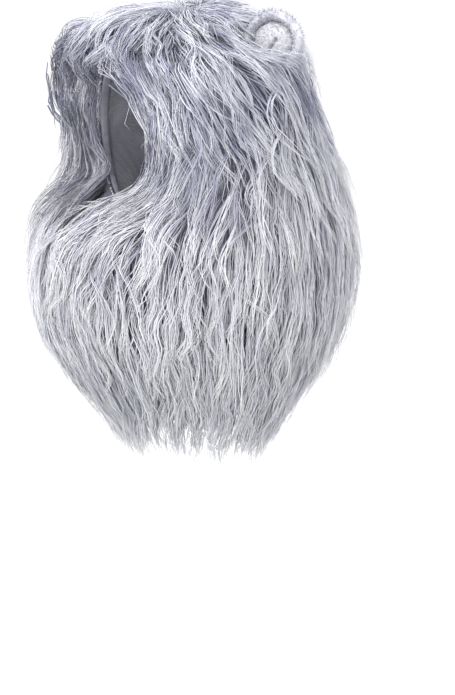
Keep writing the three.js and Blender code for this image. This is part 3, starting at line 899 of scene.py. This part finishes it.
class EarSettings(bpy.types.PropertyGroup):
    """Sizes and colours of the ears."""

    fur_length: length_of("Fur Length", "Length of the ear's fur", 0.008)
    pile_length: length_of("Pile Length", "Length of the pad's pile", 0.0026)
    crease: length_of("Crease", "Depth of the sewn crease", 0.007)
    fur: colour_of("Fur", "Colour of the fur", (0.78, 0.78, 0.83))
    pad: colour_of("Pad", "Colour of the pad", (0.6, 0.6, 0.635))


class HoodSettings(bpy.types.PropertyGroup):
    """Sizes and colours of the cloth."""

    gathers: number_of("Gathers", "Folds round the face hem", 46, 6)
    cloth: colour_of("Cloth", "Colour of the knitted backing", (0.33, 0.33, 0.38))
    hem: colour_of("Hem", "Colour of the hems", (0.25, 0.25, 0.3))


class StageSettings(bpy.types.PropertyGroup):
    """The camera and the light."""

    azimuth: FloatProperty(
        name="Azimuth",
        description="Where the camera stands round the wig",
        default=np.radians(68),
        subtype="ANGLE",
    )
    height: length_of("Height", "How high the camera stands", 0.45)
    distance: length_of("Distance", "From the camera to the wig", 4.1)
    floor: length_of("Floor", "Height of the floor", -0.806)


def face_edge(fur, roots, ways, face):
    """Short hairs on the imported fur's edge round the face opening. They start between the
    cloth and the outline, run out along the ways and a little forward, and sway sideways."""
    rng = np.random.default_rng(29)
    one = (EDGE_HAIRS, 1)
    t = np.linspace(0, 1, EDGE_RINGS)[None, :]
    column = (np.arange(EDGE_HAIRS) * PACKED_SIDES // EDGE_HAIRS) % PACKED_SIDES
    reach = rng.uniform(0.05, 0.4, one) + rng.uniform(0.45, 0.6, one) * t
    sway = rng.normal(0, 0.006, one) * t**1.5
    across = unit(np.roll(roots, -1, axis=0) - roots)
    ahead = 0.001 + 0.003 * t + rng.uniform(0, 0.002, one)
    paths = roots[column, None] + ways[column, None] * reach[..., None]
    paths += face[column, None] * ahead[..., None]
    paths = clear_of_ears(brushed(paths + across[column, None] * sway[..., None]))
    width = 0.0024 * rng.uniform(0.7, 1.3, EDGE_HAIRS)
    tone = np.clip(rng.normal(0.35, 0.15, EDGE_HAIRS), 0, 1)
    out = np.repeat(face[column, None], EDGE_RINGS, 1)
    material = fur_material("edge_fur", fur.root, fur.middle, fur.tip, fur.shadow)
    fur_pieces("mane_edge", (paths, width, tone, out), paths[:, 0, 0] > 0, material)


class WIG_OT_underfur(bpy.types.Operator):
    """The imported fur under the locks, round the whole hood, and its edge at the face"""

    bl_idname = "wig.underfur"
    bl_label = "Packed Fur"

    def execute(self, context):
        fur = context.scene.wig_fur
        angle = np.linspace(0, 2 * np.pi, PACKED_SIDES, endpoint=False)[None, :]
        place = np.linspace(FACE_LOOP, PACKED_END, PACKED_ROWS)[:, None]
        fans = np.radians([*FACE_FAN, *[0] * PACKED_ROWS, *NECK_FAN])[:, None, None]
        parts = place[[0] * len(FACE_FAN)], place, place[[-1] * len(NECK_FAN)]
        places = np.concatenate(parts)
        start = tube_point(places, angle, OVER_CLOTH)
        along, _, out = tube_frame(places, angle)
        way = out * np.cos(fans) - along * np.sin(fans)
        packed = fur.packed + 0.018 * ease(places, HEM_LOOP - 1.5, PACKED_END)
        packed = packed + 0.008 * ease(-places, -FACE_LOOP - 2, -FACE_LOOP)
        packed = packed[..., None] + 0.01 * ease(start[..., 2:], -0.05, 0.0)
        far = settled(to_outline(start, way, packed, 0.004, 0.36))
        skin = start + way * far[..., None]
        wall = start[:1] + (skin[:1] - start[:1]) * WALL_SHARES[:, None, None]
        skin = clear_of_ears(brushed(np.concatenate([wall, skin])))
        tufts = ripple(skin, 0.03, 3) * 0.0025 + ripple(skin, 0.011, 5) * 0.0012
        skin = skin + unit(skin - MANE_HEART) * tufts[..., None]
        back = tube_point(place[::-4], angle, OVER_CLOTH)
        piece = ring_shell("mane_underfur", np.concatenate([skin, back]))
        # Painted shade: the packed fur is coloured dark slate, so that it shows as the shade in the
        # gaps between the locks.
        dark, light, stretch = (0.075, 0.075, 0.115), (0.23, 0.23, 0.3), (1, 1, 0.18)
        material = grained_material("packed_fur", dark, light, 420.0, 0.004, stretch)
        wear(piece, material, "long_fur", "mane_panel_left", "mane_panel_right")
        face = -out[0] * np.sin(fans[0]) - along[0] * np.cos(fans[0])
        face_edge(fur, start[0], way[0] * far[0][:, None], face)
        return {"FINISHED"}


def undercoat(fur, material, rng):
    """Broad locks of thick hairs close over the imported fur, in rows down the mane."""
    angle, start = lock_rows(UNDER_ROWS, 1.05 * fur.lock, rng)
    length = np.minimum(0.8 * fur.length, WAYS.whole(angle) - start - 0.012)
    length = fringe(angle, start, length, rng)
    keep = off_the_face(angle, start, rng) & (length > SHORTEST_LOCK)
    angle, start, length = angle[keep], start[keep], length[keep]
    n = len(angle)
    locks = {
        "length": length,
        "width": np.full(n, 1.5 * fur.lock),
        "swing": np.full(n, 0.6 * fur.swing),
        "pitch": rng.uniform(0.08, 0.13, n),
        "phase": 9 * angle + 22 * start,
        "late": 0.2 * ease(start, 0.0, 0.05),
    }
    frames = lock_frames(angle, start, length, rng.normal(0, 0.05, n), np.full(n, 0.011))
    per_lock = np.full(n, max(1, int(fur.undercoat / n)))
    paths, _, out, _, tone = hairs_of(locks, frames, per_lock, UNDER_RINGS, rng)
    width = 2 * fur.width * np.exp(rng.normal(0, 0.2, len(paths)))
    # Painted shade: the undercoat's tones are cut to 0.4 of the tone, so these deep hairs take the
    # shadow colour.
    hairs = paths, width, 0.4 * tone, out
    fur_pieces("mane_undercoat", hairs, paths[:, UNDER_RINGS // 2, 0] > 0, material)


def lock_places(fur, rng):
    """Angle, start and length of the outer locks, and which of them are loose wisps: rows down
    the mane, a ring at the lower hem, a fan over the brow and wisps all over."""
    angle, start = lock_rows(LOCK_ROWS, 0.9 * fur.lock, rng)
    fan = rng.uniform(0.35, 1.35, FAN_LOCKS) * np.where(rng.random(FAN_LOCKS) < 0.5, -1, 1)
    loose = rng.uniform(-np.pi, np.pi, WISPS)
    hem = np.linspace(-np.pi, np.pi, HEM_LOCKS, endpoint=False)
    hem = hem + rng.uniform(-0.06, 0.06, HEM_LOCKS)
    wisp = np.repeat([False, True], [len(angle) + HEM_LOCKS + FAN_LOCKS, WISPS])
    end = WAYS.whole(hem) - rng.uniform(0.08, 0.15, HEM_LOCKS)
    start = [start, end, rng.uniform(0.01, 0.17, FAN_LOCKS), rng.uniform(0.02, 0.56, WISPS)]
    angle, start = np.concatenate([angle, hem, fan, loose]), np.concatenate(start)
    keep = off_the_face(angle, start, rng)
    keep &= ~(wisp & (np.abs(angle) < 0.75) & (start > 0.08) & (start < 0.36))
    angle, start, wisp = angle[keep], start[keep], wisp[keep]
    n = len(angle)
    length = fur.length * rng.uniform(0.88, 1.15, n) * np.where(start < 0.1, 0.85, 1)
    length = fringe(angle, start, length, rng)
    length = np.minimum(length, WAYS.whole(angle) - start + 0.006) * np.where(wisp, 0.75, 1)
    keep = length > SHORTEST_LOCK
    return angle[keep], start[keep], length[keep], wisp[keep]


def outer_fur(fur, material, rng):
    """The outer locks and wisps with their hairs, as three tiers by height."""
    angle, start, length, wisp = lock_places(fur, rng)
    n = len(angle)
    short = length / fur.length
    wide = fur.lock * rng.uniform(0.75, 1.25, n) * np.clip(short + 0.25, 0.5, 1)
    locks = {
        "length": length,
        "width": wide * np.where(wisp, 0.2, 1),
        "swing": fur.swing * rng.uniform(0.5, 1.35, n) * np.clip(short, 0.4, 1),
        "pitch": rng.uniform(0.075, 0.135, n),
        "phase": 9 * angle + 22 * start + rng.normal(0, 0.9, n),
        "late": 0.2 * ease(start, 0.0, 0.05),
    }
    spot = mane_point(angle, WAYS.share_at(angle, start + 0.08), 0.0)
    bend = 0.16 * ripple(spot, 0.26, 61) + 0.12 * ripple(spot, 0.11, 62)
    bend += rng.normal(0, 1, n) * np.where(wisp, 0.2, 0.06)
    lift = np.where(wisp, rng.uniform(-0.009, -0.002, n), rng.uniform(-0.004, 0.009, n))
    frames = lock_frames(angle, start, length, bend, lift)
    weight = locks["width"] * np.sqrt(length)
    per_lock = np.maximum(7, (fur.hairs * weight / weight.sum()).astype(int))
    paths, who, out, stray, tone = hairs_of(locks, frames, per_lock, HAIR_RINGS, rng)
    width = fur.width * np.exp(rng.normal(0, 0.25, len(who))) * np.where(stray, 0.65, 1)
    young = 0.3 * (1 - ease(start[who], 0.03, 0.13)) + 0.3 * wisp[who]
    middle = paths[:, HAIR_RINGS // 2]
    tier = np.digitize(middle[:, 2], np.quantile(middle[:, 2], [1 / 3, 2 / 3]))
    hairs = paths, width, tone, out, young
    for k, label in enumerate(("lower", "middle", "upper")):
        fur_pieces(f"mane_fur_{label}", hairs, middle[:, 0] > 0, material, tier == k)


class WIG_OT_mane(bpy.types.Operator):
    """The long fur: locks laid down the mane from the crown, tier over tier"""

    bl_idname = "wig.mane"
    bl_label = "Long Fur"

    def execute(self, context):
        fur = context.scene.wig_fur
        rng = np.random.default_rng(11)
        material = fur_material("long_fur", fur.root, fur.middle, fur.tip, fur.shadow)
        undercoat(fur, material, rng)
        outer_fur(fur, material, rng)
        return {"FINISHED"}


def ear_frame(side):
    """The ear's own directions, across, the way it faces and up, and its middle. side is 1 on
    the left and -1 on the right."""
    level = np.cos(EAR_LEAN)
    facing = np.sin(EAR_TURN * side) * level, -np.cos(EAR_TURN) * level, np.sin(EAR_LEAN)
    facing = np.array(facing)
    up = unit(np.array([0, 0, 1.0]) - facing * facing[2])
    basis = np.stack([np.cross(facing, up), facing, up])
    return basis, mane_point(np.array(EAR_ROUND * side), np.array(EAR_DOWN), np.array(EAR_SUNK))


def profile_curve(rows, steps):
    """A smooth profile through the table's rows, in metres."""
    radius, front = (through(column, np.linspace(0, 1, steps)) for column in rows.T)
    return np.stack([np.maximum(radius * EAR_RADIUS, 0), front * EAR_THICKNESS], 1)


def pile_on(profile, low, high, count, rng):
    """Seeded roots on a turned profile between two shares of it, with their directions out."""
    share = rng.uniform(low, high, 6 * count)
    steps = np.arange(len(profile)) / (len(profile) - 1)
    radius = np.interp(share, steps, profile[:, 0])
    keep = rng.random(len(share)) < radius / profile[:, 0].max()
    share = share[keep][:count]
    angle = rng.uniform(0, 2 * np.pi, len(share))
    along = unit(np.gradient(profile, axis=0))
    columns = profile[:, 0], profile[:, 1], along[:, 1], -along[:, 0]
    radius, front, out_r, out_f = (np.interp(share, steps, column) for column in columns)
    root = np.stack([radius * np.sin(angle), front, radius * np.cos(angle)], 1)
    out = unit(np.stack([out_r * np.sin(angle), out_f, out_r * np.cos(angle)], 1))
    return root, out


def short_hairs(root, out, lean, length, rings, rng):
    """Short hairs from roots: they leave along the surface's normal and bend to the lean."""
    n = len(root)
    t = np.linspace(0, 1, rings)[None, :, None]
    size = (length * rng.uniform(0.65, 1.15, n))[:, None, None]
    way = unit(out + rng.normal(0, 0.16, (n, 3)))[:, None, :]
    return root[:, None, :] + size * (way * t * (1 - 0.4 * t) + lean[:, None, :] * 0.75 * t**2)


def near_crease(points, side):
    """1 on the pad's sewn crease, a line from the rim to the middle, falling as a bell."""
    a, b = np.array([0.011 * side, -0.022]), np.array([-0.005 * side, 0.004])
    flat = points[:, [0, 2]]
    share = np.clip(((flat - a) @ (b - a)) / ((b - a) @ (b - a)), 0, 1)
    away = np.linalg.norm(flat - a - share[:, None] * (b - a), axis=1)
    return np.exp(-((away / 0.002) ** 2)) * (points[:, 1] > 0.05 * EAR_THICKNESS)


def ear_fur(profile, length, rng):
    """The cup's hairs, which lean out round the rim, over the pad in front and down behind."""
    root, out = pile_on(profile, 0.06, 0.78, EAR_HAIRS, rng)
    radial = unit(root * np.array([1, 0, 1]))
    round_it = np.cross(radial, [0, 1.0, 0]) * rng.normal(0, 0.8, (len(root), 1))
    front = root[:, 1:2] > 0.2 * EAR_THICKNESS
    lean = 0.5 * radial + round_it + np.array([0, 0, -0.35]) * ~front
    lean = unit(lean + np.array([0, 0.25, 0]) * front)
    size = length * (0.72 + 0.3 * (root[:, 1] < -0.2 * EAR_THICKNESS))
    paths = short_hairs(root, out, lean, size, EAR_RINGS, rng)
    count = len(paths)
    width = 0.0009 * rng.uniform(0.6, 1.2, count)
    # Painted shadow: the hairs rooted above the pad are darker, as the shadow of the cup's rim over
    # it.
    shadow_over_pad = (root[:, 2] > 0) & (root[:, 1] > 0)
    tone = np.clip(rng.normal(0.62, 0.24, count) - 0.35 * shadow_over_pad, 0, 1)
    facing = np.repeat(unit(out + radial)[:, None, :] + 0.01, EAR_RINGS, 1)
    return paths, width, tone, facing


def pad_pile(profile, length, creased, side, rng):
    """The pad's pile, which swirls round the pad, sinks to the crease, darkens near it as painted
    shade and leaves it bare.
    """
    root, out = pile_on(profile, 0.3, 1.0, PILE_HAIRS, rng)
    seam = near_crease(root, side)
    bare = seam >= 0.75
    root, out, seam = creased(root)[~bare], out[~bare], seam[~bare]
    swirl = np.cross(out, np.array([0, 1.0, 0])) * 0.4 + unit(root * np.array([1, 0, 1])) * 0.5
    paths = short_hairs(root, out, swirl, length, PILE_RINGS, rng)
    count = len(paths)
    width = 0.0011 * rng.uniform(0.7, 1.3, count)
    # Painted shade in the crease: the pile's tone drops near it.
    tone = np.clip(rng.normal(0.6, 0.16, count) - 0.7 * seam, 0, 1)
    facing = unit(out + 0.3 * rng.normal(size=out.shape))[:, None, :]
    return paths, width, tone, np.repeat(facing, PILE_RINGS, 1)


class WIG_OT_ears(bpy.types.Operator):
    """The two round ears: fur-covered cups with plush pads in their hollows"""

    bl_idname = "wig.ears"
    bl_label = "Ears"

    def execute(self, context):
        ears = context.scene.wig_ears
        cup_skin = grained_material("ear_cup_fur", (0.2, 0.2, 0.26), ears.fur, 500.0, 0.0015)
        pad_skin = grained_material("ear_plush", (0.48, 0.48, 0.52), ears.pad, 700.0, 0.001)
        # The dark roots and the shadow colours of the ear's hair and pile are painted shade,
        # through the hair group.
        tip, shadow = (0.9, 0.9, 0.93), (0.36, 0.36, 0.44)
        hair = fur_material("ear_fur", (0.3, 0.3, 0.37), ears.fur, tip, shadow, 0.6)
        tip, shadow = (0.7, 0.7, 0.73), (0.42, 0.42, 0.47)
        pile = fur_material("ear_pile", (0.4, 0.4, 0.44), ears.pad, tip, shadow, 0.8)
        cup, pad = profile_curve(EAR_CUP, 40), profile_curve(EAR_PAD, 24)
        for side, label in ((1, "left"), (-1, "right")):
            rng = np.random.default_rng(40 + side)
            basis, seat = ear_frame(side)

            def place(points):
                """Points carried from the ear's own directions to the wig's."""
                return points @ basis + seat

            def creased(points):
                """Points pressed back along the crease."""
                return points - near_crease(points, side)[:, None] * np.array([0, ears.crease, 0])

            piece = lathe(f"ear_cup_skin_{label}", cup, EAR_SIDES, place)
            wear(piece, cup_skin, "ear_fur", f"ear_cup_{label}")
            piece = lathe(f"ear_pad_plush_{label}", pad, EAR_SIDES, place, creased)
            wear(piece, pad_skin, "ear_plush", f"ear_pad_{label}")

            paths, width, tone, facing = ear_fur(cup, ears.fur_length, rng)
            hairs = strand_mesh(f"ear_fur_{label}", place(paths), width, tone, facing @ basis)
            wear(hairs, hair, "ear_fur", f"ear_cup_{label}")
            paths, width, tone, facing = pad_pile(pad, ears.pile_length, creased, side, rng)
            hairs = strand_mesh(f"ear_pile_{label}", place(paths), width, tone, facing @ basis)
            wear(hairs, pile, "ear_plush", f"ear_pad_{label}")
        return {"FINISHED"}


class WIG_OT_hood(bpy.types.Operator):
    """The knitted backing inside the fur and the gathered hems at the face and the neck"""

    bl_idname = "wig.hood"
    bl_label = "Hood"

    def execute(self, context):
        hood = context.scene.wig_hood
        angle = np.linspace(0, 2 * np.pi, LINING_SIDES, endpoint=False)
        first = place_beside(FACE_LOOP, angle, 0.0125)
        last = place_beside(HEM_LOOP, angle, -0.0105)
        place = first + (last - first) * np.linspace(0, 1, LINING_ROWS)[:, None]
        wave = ripple(tube_inside(place, angle), 0.09, 21) * 0.0006
        inner = tube_point(place, angle, 0.0003 + wave)
        outer = tube_point(place, angle, CLOTH_WALL - 0.0002 + wave)
        piece = ring_shell("hood_lining", np.concatenate([outer, inner[::-1]]))
        wear(piece, knit_material("knit_backing", hood.cloth), "backing_knit", "hood_backing")
        dark = tuple(0.55 * c for c in hood.hem)
        hem = grained_material("hem_cloth", dark, hood.hem, 900.0, 0.0006)
        for name, loop, width, thick, node, folds, deep in (
            ("face_hem_casing", FACE_LOOP, 0.0128, 0.0048, "face_hem", hood.gathers, 0.0006),
            ("neck_hem_band", HEM_LOOP, -0.0108, 0.0042, "neck_hem", 2 * hood.gathers, 0.0003),
        ):
            section = np.linspace(0, 2 * np.pi, HEM_SIDES, endpoint=False)[:, None]
            across = np.sign(np.cos(section)) * np.abs(np.cos(section)) ** 0.6
            out = np.sign(np.sin(section)) * np.abs(np.sin(section)) ** 0.7
            many = np.linspace(0, 2 * np.pi, 6 * folds, endpoint=False)[None, :]
            beside = place_beside(loop, many[0], width)[None, :]
            place = loop + (beside - loop) * (0.5 + 0.5 * across)
            gather = deep * np.sin(folds * many + 0.6 * np.sin(7 * many))
            gather = gather * (1 - 0.5 * np.abs(across))
            stitched = -0.0007 * np.exp(-(((across - 0.72) / 0.12) ** 2))
            grown = CLOTH_WALL - 0.5 * thick + out * (0.5 * thick - deep + gather + stitched)
            piece = ring_shell(name, tube_point(place, many, grown))
            wear(piece, hem, "hem_cloth", node)
        return {"FINISHED"}


def looking(way):
    """The turn of a lamp or a camera that looks along a way."""
    return Vector(way).to_track_quat("-Z", "Y").to_euler()


class WIG_OT_stage(bpy.types.Operator):
    """The pale floor, the soft lights and the camera"""

    bl_idname = "wig.stage"
    bl_label = "Stage"

    def execute(self, context):
        stage = context.scene.wig_stage
        u = np.linspace(-FLOOR_HALF, FLOOR_HALF, FLOOR_SIDES)
        a = stage.azimuth
        away = np.array([-np.sin(a), np.cos(a)])
        beside = np.array([np.cos(a), np.sin(a)])
        run = np.linspace(0, 1, FLOOR_ROWS) * FLOOR_RUN + FLOOR_NEAR
        lift = stage.floor + np.maximum(run - FLOOR_LEVEL, 0) ** 2 / FLOOR_BEND
        flat = run[:, None, None] * away + u[None, :, None] * beside
        high = np.repeat(lift[:, None, None], FLOOR_SIDES, 1)
        points = np.concatenate([flat, high], -1).reshape(-1, 3)
        i, j = np.meshgrid(np.arange(FLOOR_ROWS - 1), np.arange(FLOOR_SIDES - 1), indexing="ij")
        corner = (i * FLOOR_SIDES + j).ravel()
        ring = corner + 1, corner + FLOOR_SIDES + 1, corner + FLOOR_SIDES, corner
        floor = build_mesh("floor", points, np.stack(ring, 1))
        material, tree, shader = principled("pale_floor")
        set_inputs(tree, shader, Base_Color=(0.9, 0.9, 0.9, 1), Roughness=0.9)
        set_inputs(tree, shader, Emission_Color=(1, 1, 1, 1), Emission_Strength=0.09)
        floor.data.materials.append(material)

        world = bpy.data.worlds.new("studio")
        world.use_nodes = True
        sky = world.node_tree.nodes["Background"]
        set_inputs(world.node_tree, sky, Color=(1, 1, 1, 1), Strength=0.98)
        context.scene.world = world
        for name, turn, height, power, size in (
            ("key", -42, 40, 79, 2.2),
            ("fill", 48, 18, 16, 2.8),
            ("top", 10, 80, 26, 2.0),
        ):
            data = bpy.data.lights.new(name, "AREA")
            data.energy = power
            data.size = size
            lamp = bpy.data.objects.new(name, data)
            context.scene.collection.objects.link(lamp)
            b, h = a + np.radians(turn), np.radians(height)
            way = np.array([np.sin(b) * np.cos(h), -np.cos(b) * np.cos(h), np.sin(h)])
            lamp.location = LIGHT_AIM + way * LIGHT_DISTANCE
            lamp.rotation_euler = looking(-way)

        data = bpy.data.cameras.new("camera")
        data.lens = LENS
        camera = bpy.data.objects.new("camera", data)
        context.scene.collection.objects.link(camera)
        camera.location = (np.sin(a) * stage.distance, -np.cos(a) * stage.distance, stage.height)
        right = np.array([np.cos(a), np.sin(a), 0])
        aim = right * AIM_RIGHT + np.array([0, 0, AIM_UP])
        camera.rotation_euler = looking(aim - np.array(camera.location))
        data.clip_end = 60
        context.scene.camera = camera
        context.scene.view_settings.view_transform = "Standard"
        return {"FINISHED"}


class WIG_PT_panel(bpy.types.Panel):
    """Lists the wig's pieces and their sizes"""

    bl_label = "Lion Mane Wig"
    bl_idname = "WIG_PT_panel"
    bl_space_type = "VIEW_3D"
    bl_region_type = "UI"
    bl_category = "Mane Wig"

    def draw(self, context):
        for name, operator in (
            ("wig_hood", "wig.hood"),
            ("wig_fur", "wig.underfur"),
            ("wig_fur", "wig.mane"),
            ("wig_ears", "wig.ears"),
            ("wig_stage", "wig.stage"),
        ):
            box = self.layout.box()
            settings = getattr(context.scene, name)
            for key in settings.__annotations__:
                box.prop(settings, key)
            box.operator(operator)


SETTINGS = {
    "wig_fur": FurSettings,
    "wig_ears": EarSettings,
    "wig_hood": HoodSettings,
    "wig_stage": StageSettings,
}
OPERATORS = (WIG_OT_stage, WIG_OT_hood, WIG_OT_underfur, WIG_OT_mane, WIG_OT_ears)


def register():
    """Adds the settings, the operators and the panel."""
    for kind in (*SETTINGS.values(), *OPERATORS, WIG_PT_panel):
        bpy.utils.register_class(kind)
    for name, kind in SETTINGS.items():
        setattr(bpy.types.Scene, name, PointerProperty(type=kind))


def unregister():
    """Takes out what register adds."""
    for name in SETTINGS:
        delattr(bpy.types.Scene, name)
    for kind in (WIG_PT_panel, *reversed(OPERATORS), *SETTINGS.values()):
        bpy.utils.unregister_class(kind)


def main():
    """Builds the stage and the pieces."""
    register()
    bpy.ops.wig.stage()
    bpy.ops.wig.hood()
    bpy.ops.wig.underfur()
    bpy.ops.wig.mane()
    bpy.ops.wig.ears()


if __name__ == "__main__":
    main()
